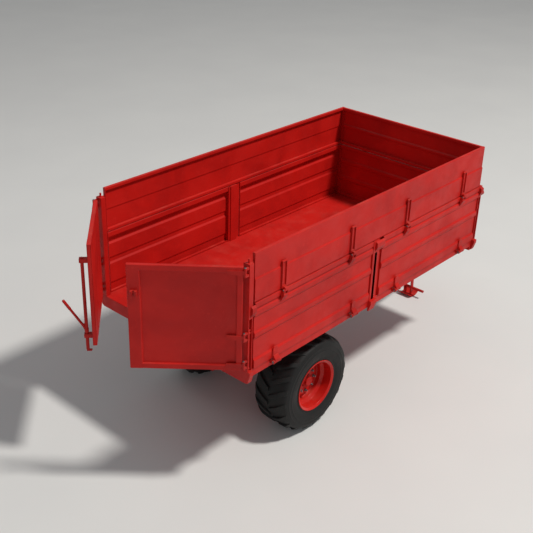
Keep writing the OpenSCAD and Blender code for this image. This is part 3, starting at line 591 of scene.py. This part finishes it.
def front_wall():
    """Front wall between the sides, and the panel above it, carried by two square stakes."""
    lo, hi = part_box("front_wall")
    face = hi.x
    lo.z = FLOOR_Z + 0.0004
    piece = Piece()
    wall_sheet(piece, lo, hi, [(0.3, 0), (0.33, -RIB), (0.37, -RIB), (0.4, 0), (0.63, 0), (0.66, -RIB),
                               (0.7, -RIB), (0.73, 0)])
    for y in (lo.y - 0.0005, hi.y + 0.0005):
        piece.box((lo.x + 0.004, y - 0.0008, lo.z + 0.002), (lo.x + 0.012, y + 0.0008, hi.z), 0.0004)
    piece.done("front_wall_panel", SHEET, "load_box", "front_wall", sharp=50)

    lo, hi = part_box("front_wall_extension")
    stake_foot, stake_out = lo.z, hi.x
    lo.z, hi.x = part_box("left_extension_board")[0].z, face
    stake_top = lo.z + 0.9 * (hi.z - lo.z)
    half, wall, back = 0.030, 0.006, face + 0.0002
    piece = Piece()
    wall_sheet(piece, lo, hi, [(0.46, 0), (0.49, -RIB), (0.53, -RIB), (0.56, 0)])
    for y in (-STAKE_Y, STAKE_Y):
        ring = [(back, y - half), (stake_out, y - half), (stake_out, y + half), (back, y + half)]
        hollow = [(back, y - half + wall), (stake_out - wall, y - half + wall),
                  (stake_out - wall, y + half - wall), (back, y + half - wall)]
        outline = arc_corners(ring, 0.007) + arc_corners(hollow, 0.003)[::-1]
        piece.prism("z", stake_foot, stake_top, [tuple(p) for p in outline])
        for side in (-1, 1):
            weld = (face + 0.001, y + side * (half + 0.002))
            piece.bead((*weld, stake_foot + 0.02), (*weld, stake_foot + 0.32), 0.004)
            piece.bead((*weld, lo.z + 0.02), (*weld, stake_top - 0.02), 0.004)
    piece.done("front_wall_top_panel", SHEET, "load_box", "front_wall_extension", sharp=50)


# ---------------------------------------------------------------- ironwork of the boards

def loops(node):
    """Centres of a CAD node's separate pieces along X, from gaps in its vertices."""
    xs = sorted({round(v.co.x, 4) for v in frame["nodes"][node].data.vertices})
    groups, last = [[xs[0]]], xs[0]
    for x in xs[1:]:
        if x - last > 0.15:
            groups.append([])
        groups[-1].append(x)
        last = x
    return [(g[0] + g[-1]) / 2 for g in groups]


LOW_AXIS = Vector(JOINTS["left_rear_side_drop"]["pos_m"])
RAIL_AXIS = Vector(JOINTS["left_extension_fold"]["pos_m"])
# Radius of the rail hinges' eyes, and half the width of their leaves and of the channel straps
RAIL_EYE = 0.014
LEAF_HALF = 0.035
# Outermost plane of the drop sides, which the ironwork stands on
SIDE_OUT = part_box("left_rear_side")[1].y


def low_strap(piece, x):
    """Bottom hinge: a strap welded up the board, rolled into an eye round the pin."""
    axis, base = LOW_AXIS, SIDE_OUT
    half, thick, eye, top = 0.036, 0.016, 0.021, FLOOR_Z + 0.140
    front = [(x - half, FLOOR_Z + 0.006), (x + half, FLOOR_Z + 0.006), (x + half, top - 0.02),
             (x + half - 0.014, top), (x - half + 0.014, top), (x - half, top - 0.02)]
    piece.prism("y", base, base + thick, rounded(front, 0.008), 0.003)
    inner_y = base + thick - 0.004
    outline = [(inner_y, FLOOR_Z + 0.040), (inner_y, axis.z + 0.004)] + eye_arc(axis, eye, -180, 0, 12)[1:]
    outline += [(axis.y + eye, axis.z + 0.03), (base + thick + 0.006, FLOOR_Z + 0.040)]
    piece.prism("x", x - half, x + half, outline, 0.0025)
    for side in (-1, 1):
        edge = x + side * (half + 0.001)
        piece.bead((edge, base + 0.002, FLOOR_Z + 0.014), (edge, base + 0.002, FLOOR_Z + 0.085), 0.0045)


def rail_leaf(piece, x):
    """Rail hinge: a wedge on the rail carrying two ears."""
    axis, base, eye = RAIL_AXIS, SIDE_OUT, RAIL_EYE
    back, top, foot, ear_t = base + 0.0002, axis.z - 0.045, axis.z - 0.135, 0.015
    wedge = [(back, top + 0.002), (axis.y + 0.008, top + 0.002), (axis.y + 0.008, top - 0.015),
             (base + 0.003, foot), (back, foot)]
    piece.prism("x", x - LEAF_HALF, x + LEAF_HALF, rounded(wedge, 0.004), 0.002)
    ear = [(back, top), (base + 0.026, top), (axis.y + eye, axis.z - 0.022)] + eye_arc(axis, eye, 0, 180, 15)
    ear += [(axis.y - eye, axis.z - 0.014), (back, axis.z - 0.014)]
    for x0 in (x - LEAF_HALF, x + LEAF_HALF - ear_t):
        piece.prism("x", x0, x0 + ear_t, ear, 0.0018)
    for side in (-1, 1):
        edge = x + side * (LEAF_HALF + 0.0005)
        piece.bead((edge, base + 0.002, top - 0.080), (edge, base + 0.002, top - 0.042), 0.0035)


def ironwork(side, place):
    """The hinge straps and rail hinge leaves welded to one drop side."""
    lo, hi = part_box(f"left_{place}_ironwork")
    piece = Piece()
    for shape, places in ((low_strap, "side_hinge_lugs"), (rail_leaf, "left_extension_straps")):
        for x in loops(places):
            if lo.x < x < hi.x:
                shape(piece, x)
    piece.done(f"{side}_{place}_side_irons", IRON, f"{side}_{place}_side", f"{side}_{place}_ironwork")


def extension_straps(side):
    """Channel straps of the extension board, each with a tongue down to its hinge pin."""
    axis, eye = RAIL_AXIS, RAIL_EYE
    lo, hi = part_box("left_extension_board")
    base, bottom, top = hi.y, lo.z + 0.012, lo.z + 0.6 * (hi.z - lo.z)
    flange_t, pin_half, head_t = 0.010, 0.039, 0.0045
    piece = Piece()
    for x in loops("left_extension_straps"):
        x0, x1 = x - LEAF_HALF, x + LEAF_HALF
        back = [(x0, bottom), (x1, bottom), (x1, top), (x0, top)]
        piece.prism("y", base + 0.0002, base + 0.006, rounded(back, 0.006), 0.0015)
        for side_x in (x0, x1 - flange_t):
            flange = [(base + 0.001, bottom), (base + 0.020, bottom), (base + 0.020, top - 0.012),
                      (base + 0.010, top), (base + 0.001, top)]
            piece.prism("x", side_x, side_x + flange_t, rounded(flange, 0.004), 0.0018)
        for z0, z1, bevel in ((top - 0.014, top - 0.002, 0.002), (bottom, bottom + 0.028, 0.003)):
            piece.box((x0 + 0.001, base + 0.001, z0), (x1 - 0.001, base + 0.0195, z1), bevel)
        tongue = [(base + 0.016, axis.z + 0.004), (axis.y - eye, axis.z)] + eye_arc(axis, eye, 180, 360, 15)
        tongue += [(axis.y + eye, axis.z + 0.028), (axis.y + eye - 0.008, axis.z + 0.035),
                   (base + 0.016, axis.z + 0.035)]
        piece.prism("x", x - 0.019, x + 0.019, tongue, 0.002)
        head = x - pin_half - 0.0015
        piece.pin((x - pin_half, axis.y, axis.z), (x + pin_half, axis.y, axis.z), 0.007, mat=1)
        piece.pin((head, axis.y, axis.z), (head + head_t, axis.y, axis.z), 0.0105, mat=1)
        for edge in (x0 - 0.0015, x1 + 0.0015):
            piece.bead((edge, base + 0.001, bottom + 0.02), (edge, base + 0.001, top - 0.02), 0.0032)
    piece.done(f"{side}_upper_board_straps", (IRON, STEEL), f"{side}_extension", f"{side}_extension_straps")


# ---------------------------------------------------------------- rear doors

DOOR = JOINTS["left_door_swing"]
DOOR_OPEN = math.radians(-DOOR["range_deg"][0])


def door_place():
    """Turns door space into the row frame: -Y runs along the door and +X through its thickness, inwards."""
    x, y = DOOR["pos_m"][:2]
    return Matrix.Translation((x, y, 0)) @ Matrix.Rotation(-DOOR_OPEN, 4, "Z")


def door_box(node):
    back = door_place().inverted()
    points = [back @ v.co for v in frame["nodes"][node].data.vertices]
    lo = Vector([min(p[i] for p in points) for i in range(3)])
    hi = Vector([max(p[i] for p in points) for i in range(3)])
    return lo, hi


def door(side):
    """Door: a flat inner skin, and a folded frame round a recessed outer panel."""
    place = door_place()
    lo, hi = door_box("left_door")
    thick, y0, y1, z0, z1 = hi.x, lo.y, hi.y, lo.z, hi.z
    stile, rail, recess = 0.130, 0.060, 0.022
    panel_y0, panel_y1, panel_z0, panel_z1 = y0 + stile, y1 - rail, z0 + rail, z1 - rail
    rail_spans = ((z0, panel_z0), (panel_z1, z1))
    piece = Piece()
    piece.box((thick - 0.004, y0, z0), (thick, y1, z1), 0.0015, place=place)
    piece.box((recess, y0 + 0.02, z0 + 0.02), (recess + 0.004, y1 - 0.02, z1 - 0.02), 0.0, place=place)
    for ya, yb in ((y0, panel_y0), (panel_y1, y1)):
        ring = [(0.0, ya), (0.0, yb), (thick - 0.003, yb), (thick - 0.003, ya)]
        outline = arc_corners(ring, 0.009, 5, closed=True)
        piece.prism("z", z0, z1, [tuple(p) for p in outline], 0.0025, angle=50, place=place)
    for za, zb in rail_spans:
        piece.box((0.0006, panel_y0 - 0.010, za + 0.0002), (thick - 0.0035, panel_y1 + 0.010, zb - 0.0002),
                  0.005, steps=4, place=place)

    def weld(x, ya, za, yb, zb, size):
        piece.bead(place @ Vector((x, ya, za)), place @ Vector((x, yb, zb)), size)

    for z in (panel_z0 + 0.001, panel_z1 - 0.001):
        weld(recess, panel_y0 + 0.006, z, panel_y1 - 0.006, z, 0.0035)
    for y in (panel_y0 + 0.001, panel_y1 - 0.001):
        weld(recess, y, panel_z0 + 0.006, y, panel_z1 - 0.006, 0.0035)
    for za, zb in rail_spans:
        for y in (panel_y0 - 0.001, panel_y1 + 0.001):
            weld(0.001, y, za + 0.006, y, zb - 0.006, 0.0022)
    piece.done(f"{side}_door_leaf", SHEET, f"{side}_door", f"{side}_door")


def lock_rod():
    """Lock rod with its lower hook, and the handle welded on through a gusset."""
    place = door_place()
    lo, hi = door_box("lock_rod")
    rod_r, bar_r, grip_r, collar_r = 0.018, 0.0135, 0.0158, 0.0225
    root_up, handle_up, grip_l = 0.200, 0.360, 0.125
    x, y = door_box("lock_brackets")[0].x + 0.028, (lo.y + hi.y) / 2
    foot, z_low = lo.z, lo.z + 0.020
    tall = hi.z - z_low
    piece = Piece()
    rod = [(rod_r - 0.004, 0), (rod_r, 0.004), (rod_r, tall - 0.004), (0.015, tall - 0.001), (0.012, tall)]
    piece.turned((x, y, z_low - 0.004), (0, 0, 1), rod, 24, place=place)
    hook = [(x - 0.012, foot), (x + 0.039, foot), (x + 0.046, foot + 0.008), (x + 0.046, foot + 0.019),
            (x - 0.012, foot + 0.019)]
    piece.prism("y", y - 0.011, y + 0.011, rounded(hook, 0.006), 0.002, place=place)
    root_z = FLOOR_Z + root_up
    start, end = Vector((x, y, root_z)), Vector((lo.x + 0.0165, y, root_z + handle_up))
    ahead = (end - start).normalized()
    bar = [start + ahead * t for t in (0.0, 0.04, 0.2, (end - start).length - 0.13)]
    piece.swept(bar, bar_r, 18, place=place)
    grip = [(bar_r, -0.004), (grip_r, 0.0), (grip_r, grip_l * 0.9), (0.0142, grip_l * 0.96), (0.010, grip_l),
            (0.0, grip_l + 0.001)]
    piece.turned(end - ahead * grip_l, ahead, grip, 20, place=place)
    gusset = [(x - 0.014, root_z - 0.02), (x - 0.014, root_z + 0.082), (x - 0.050, root_z + 0.060),
              (x - 0.032, root_z + 0.02)]
    piece.prism("y", y - 0.003, y + 0.003, gusset, 0.001, place=place)
    collar = [(rod_r + 0.0002, 0), (collar_r, 0.003), (collar_r, 0.041), (rod_r + 0.0002, 0.044)]
    piece.turned((x, y, root_z - 0.022), (0, 0, 1), collar, 24, place=place)
    piece.done("lock_rod_bar", IRON, "lock_rod", "lock_rod")


# ---------------------------------------------------------------- wheels

# The wheel disc's inner face, measured outwards from the tyre's middle, and the disc's thickness
DISC_AT, DISC_T = 0.060, 0.012
AXLE = Vector(JOINTS["left_wheel_turn"]["pos_m"])
TYRE_LO, TYRE_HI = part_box("left_tyre")
TYRE_R = (TYRE_HI.z - TYRE_LO.z) / 2
HALF_TYRE = (TYRE_HI.y - TYRE_LO.y) / 2
HUB_Y = (TYRE_HI.y + TYRE_LO.y) / 2
WHEEL_AT = Vector((AXLE.x, HUB_Y, AXLE.z))
OUTWARD = (0, 1, 0)
LUGS, LUG_STATIONS = 20, 11
STUDS, STUD_CIRCLE = 8, 0.1375


def smooth_profile(points, steps):
    """Catmull-Rom curve through (radius, offset) points."""
    out = []
    pts = [Vector(p) for p in points]
    for i in range(len(pts) - 1):
        p0, p1, p2, p3 = pts[max(i - 1, 0)], pts[i], pts[i + 1], pts[min(i + 2, len(pts) - 1)]
        for k in range(steps):
            t = k / steps
            out.append(0.5 * ((2 * p1) + (p2 - p0) * t + (2 * p0 - 5 * p1 + 4 * p2 - p3) * t * t
                              + (3 * p1 - p0 - 3 * p2 + p3) * t ** 3))
    out.append(pts[-1])
    return [tuple(p) for p in out]


def carcass(s):
    """Radius of the tread's ground at offset s from the tyre's middle."""
    share = min(1.0, abs(s) / HALF_TYRE)
    return TYRE_R * (0.960 - 0.012 * share ** 2 - 0.030 * max(0.0, share - 0.72) / 0.28)


def lug(s, i):
    """One tread bar as (vertices, faces), on the half of the tread where offsets have the sign s."""
    r, w = TYRE_R, HALF_TYRE
    base_angle = (i + s / 4) * 2 * math.pi / LUGS
    verts = []
    for k in range(LUG_STATIONS):
        t = k / (LUG_STATIONS - 1)
        offset = 0.006 + t * (0.930 * w - 0.006)
        lean = base_angle - 0.030 + 0.235 * (t ** 1.15)
        wide = 0.021 + 0.012 * t
        low = carcass(offset) - 0.012
        fall = max(0.0, t - 0.62) / 0.38
        top = r * (0.9995 - 0.006 * t * t) - 0.046 * fall ** 1.7
        low = min(low, top - 0.010) - 0.030 * fall ** 2
        for radius, swing in ((low, -(wide + 0.007)), (top, -wide), (top, wide), (low, wide + 0.007)):
            a = lean + swing / r
            verts.append((radius * math.sin(a), s * offset, radius * math.cos(a)))
    faces = [(0, 1, 2, 3), tuple(4 * LUG_STATIONS - n for n in (1, 2, 3, 4))]
    for k in range(LUG_STATIONS - 1):
        a, b = 4 * k, 4 * k + 4
        faces += [(a + n, a + (n + 1) % 4, b + (n + 1) % 4, b + n) for n in range(4)]
    return verts, faces


def tyre(side):
    """Tyre: the carcass with its sidewall lines, and two rows of slanting bars."""
    r, w = TYRE_R, HALF_TYRE
    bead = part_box("left_rim")[1].z - AXLE.z - 0.025
    half = [(bead, 0.80 * w), (bead + 0.004, 0.855 * w), (bead + 0.016, 0.885 * w), (bead + 0.028, 0.925 * w),
            (bead + 0.040, 0.945 * w), (bead + 0.048, 0.928 * w), (bead + 0.060, 0.940 * w),
            (0.64 * r, 0.978 * w), (0.70 * r, 0.995 * w), (0.735 * r, 0.998 * w), (0.745 * r, 1.006 * w),
            (0.760 * r, 1.006 * w), (0.770 * r, 0.996 * w), (0.81 * r, 0.985 * w), (0.822 * r, 0.990 * w),
            (0.834 * r, 0.989 * w), (0.845 * r, 0.974 * w), (0.88 * r, 0.950 * w), (0.912 * r, 0.905 * w),
            (0.932 * r, 0.82 * w), (0.9445 * r, 0.68 * w), (0.953 * r, 0.40 * w), (0.958 * r, 0.0)]
    outer = smooth_profile(half, 3)
    outer += [(p[0], -p[1]) for p in reversed(outer[:-1])]
    inner = [(bead, -0.77 * w), (0.70 * r, -0.88 * w), (0.86 * r, -0.80 * w), (0.91 * r, 0.0),
             (0.86 * r, 0.80 * w), (0.70 * r, 0.88 * w), (bead, 0.77 * w)]
    piece = Piece()
    piece.turned(WHEEL_AT, OUTWARD, outer + inner + [outer[0]], 120)
    for i in range(LUGS):
        for s in (-1, 1):
            piece.add(*lug(s, i), bevel=0.004, angle=40, place=Matrix.Translation(WHEEL_AT))
    piece.done(f"{side}_tyre_cover", TYRE, f"{side}_wheel", f"{side}_tyre", sharp=55)


def rim(side):
    """Rim: the rolled shell, and the deep dished disc welded into it."""
    lo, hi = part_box("left_rim")
    r, lip = hi.z - AXLE.z, (hi.y - lo.y) / 2
    bead, well, t = r - 0.026, r - 0.058, 0.007
    face, seat = DISC_AT, well - t
    shell = [(r, -lip), (r, -lip + 0.010), (bead, -lip + 0.018), (bead, -0.120), (well, -0.090),
             (well, 0.090), (bead, 0.120), (bead, lip - 0.018), (r, lip - 0.010), (r, lip),
             (r - t, lip), (bead - t, lip - 0.016), (bead - t, 0.118), (seat, 0.088), (seat, -0.088),
             (bead - t, -0.118), (bead - t, -lip + 0.016), (r - t, -lip)]
    dish = [(seat + 0.002, 0.016), (seat + 0.002, 0.034), (0.232, 0.034), (0.205, 0.040),
            (0.180, face + DISC_T), (0.076, face + DISC_T), (0.076, face), (0.170, face), (0.196, 0.022),
            (0.228, 0.016)]
    weld = [(seat + 0.001, 0.030), (seat - 0.008, 0.0345), (seat - 0.001, 0.043)]
    piece = Piece()
    for profile in (rounded(shell, 0.006), rounded(dish, 0.009, 5), weld):
        piece.turned(WHEEL_AT, OUTWARD, looped(profile), 96)
    piece.done(f"{side}_rim_disc", WHEEL, f"{side}_wheel", f"{side}_rim")


def hub(side):
    """Hub with its flange and cap, and a stud, washer and nut in each hole of the disc."""
    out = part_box("left_hub")[1].y - HUB_Y
    face = DISC_AT
    body = [(0.036, -0.200), (0.084, -0.200), (0.088, -0.196), (0.088, 0.034), (0.096, 0.040),
            (0.160, 0.040), (0.165, 0.045), (0.165, face), (0.074, face), (0.074, face + 0.036),
            (0.071, face + 0.040), (0.060, face + 0.040), (0.058, face + 0.043), (0.058, out - 0.006),
            (0.053, out - 0.001), (0.044, out), (0.038, out - 0.003), (0.0, out - 0.0035), (0.0, 0.086),
            (0.036, 0.086)]
    washer = [(0.010, 0.0), (0.0205, 0.0), (0.0205, 0.003), (0.010, 0.003)]
    piece = Piece()
    piece.turned(WHEEL_AT, OUTWARD, looped(body), 48)
    for k in range(STUDS):
        a = 2 * math.pi * k / STUDS
        at = WHEEL_AT + Vector((STUD_CIRCLE * math.cos(a), face + DISC_T, STUD_CIRCLE * math.sin(a)))
        piece.pin(at, at + Vector((0, 0.036, 0)), 0.0098, mat=1)
        piece.turned(at, OUTWARD, looped(washer), 24, mat=1)
        piece.nut(at + Vector((0, 0.0032, 0)), OUTWARD, 0.029, 0.017, mat=1)
    piece.done(f"{side}_hub_and_studs", (IRON, STEEL), f"{side}_wheel", f"{side}_hub", sharp=42)


# ---------------------------------------------------------------- stage and light

FLOOR_RADIUS, FLOOR_SIDES, FLOOR_DROP = 60, 64, 0.0005


def area_light(name, place, target, size, power, colour=(1, 1, 1)):
    data = bpy.data.lights.new(name, "AREA")
    data.shape, data.size, data.energy, data.color = "DISK", size, power, colour
    lamp = bpy.data.objects.new(name, data)
    lamp.location = place
    lamp.rotation_euler = (Vector(target) - Vector(place)).to_track_quat("-Z", "Y").to_euler()
    bpy.context.scene.collection.objects.link(lamp)


def make_stage():
    """Pale floor, soft sky and three soft lights."""
    n = Nodes("pale_floor")
    tone = n.mix(n.noise(0.6, 3.0), srgb(222, 222, 219), srgb(214, 214, 212))
    n.link(tone, n.bsdf.inputs["Base Color"])
    n.bsdf.inputs["Roughness"].default_value = 0.8
    n.bsdf.inputs["Specular IOR Level"].default_value = 0.2
    data = bpy.data.meshes.new("floor")
    angles = [2 * math.pi * k / FLOOR_SIDES for k in range(FLOOR_SIDES)]
    edge = [(FLOOR_RADIUS * math.cos(a), FLOOR_RADIUS * math.sin(a), -FLOOR_DROP) for a in angles]
    data.from_pydata(edge, [], [tuple(range(FLOOR_SIDES))])
    data.materials.append(n.mat)
    ground = bpy.data.objects.new("floor", data)
    bpy.context.scene.collection.objects.link(ground)

    world = bpy.data.worlds.new("studio")
    world.use_nodes = True
    backdrop = world.node_tree.nodes["Background"]
    backdrop.inputs["Color"].default_value = (0.94, 0.96, 1.0, 1.0)
    backdrop.inputs["Strength"].default_value = 0.27
    scene = bpy.context.scene
    scene.world = world
    scene.view_settings.view_transform = "Standard"
    area_light("key", (6.2, -14.2, 27.5), (-0.3, 0, 1.0), 3.4, 7700, (1.0, 0.97, 0.93))
    area_light("fill", (-8.0, -9.0, 7.0), (-0.3, 0, 1.2), 6.0, 70, (0.97, 0.98, 1.0))
    area_light("rim", (-2.0, 9.0, 8.0), (0, 0, 1.5), 5.0, 60)


# ---------------------------------------------------------------- assembly

# Material and edge radius of each CAD node that is shown as it is
FINISH = {
    "floor_plate": (LOAD, 0.0015), "platform_frame": (PAINT, 0.004), "tip_bearers": (UNDER, 0.004),
    "ram_pad": (FORGED, 0.002), "rear_posts": (PAINT, 0.004), "centre_posts": (PAINT, 0.004),
    "front_posts": (PAINT, 0.004), "rail_catches": (IRON, 0.004), "side_hinge_lugs": (IRON, 0.003),
    "side_hinge_pins": (STEEL, 0.0015), "door_hinge_brackets": (IRON, 0.0025),
    "door_hinge_pins": (STEEL, 0.0015),
    "lock_brackets": (IRON, 0.003), "lock_keeper": (IRON, 0.003), "left_door_hinges": (IRON, 0.0025),
    "right_door_hinges": (IRON, 0.0025), "chassis_rails": (UNDER, 0.005), "cross_members": (UNDER, 0.005),
    "axle_brackets": (UNDER, 0.003), "axle_beam": (UNDER, 0.005), "tip_pins": (STEEL, 0.002),
    "ram_cradle": (UNDER, 0.003), "ram_barrel": (UNDER, 0.003), "ram_stage_1": (CHROME, 0.0012),
    "ram_stage_2": (CHROME, 0.0012), "ram_stage_3": (CHROME, 0.0012), "drawbar": (UNDER, 0.005),
    "towing_eye": (FORGED, 0.006), "eye_bolts": (STEEL, 0.002), "stand_legs": (IRON, 0.003),
    "stand_skid": (PAINT, 0.003),
}

make_camera()
make_stage()
front_wall()
for side in ("left", "right"):
    for place in ("rear", "front"):
        drop_side(side, place)
        ironwork(side, place)
    extension_board(side)
    extension_straps(side)
    door(side)
    tyre(side)
    rim(side)
    hub(side)
lock_rod()
for node, obj in frame["nodes"].items():
    if node in FINISH:
        soften(obj, *FINISH[node])
    elif node.endswith("_lever"):
        soften(obj, IRON, 0.003)
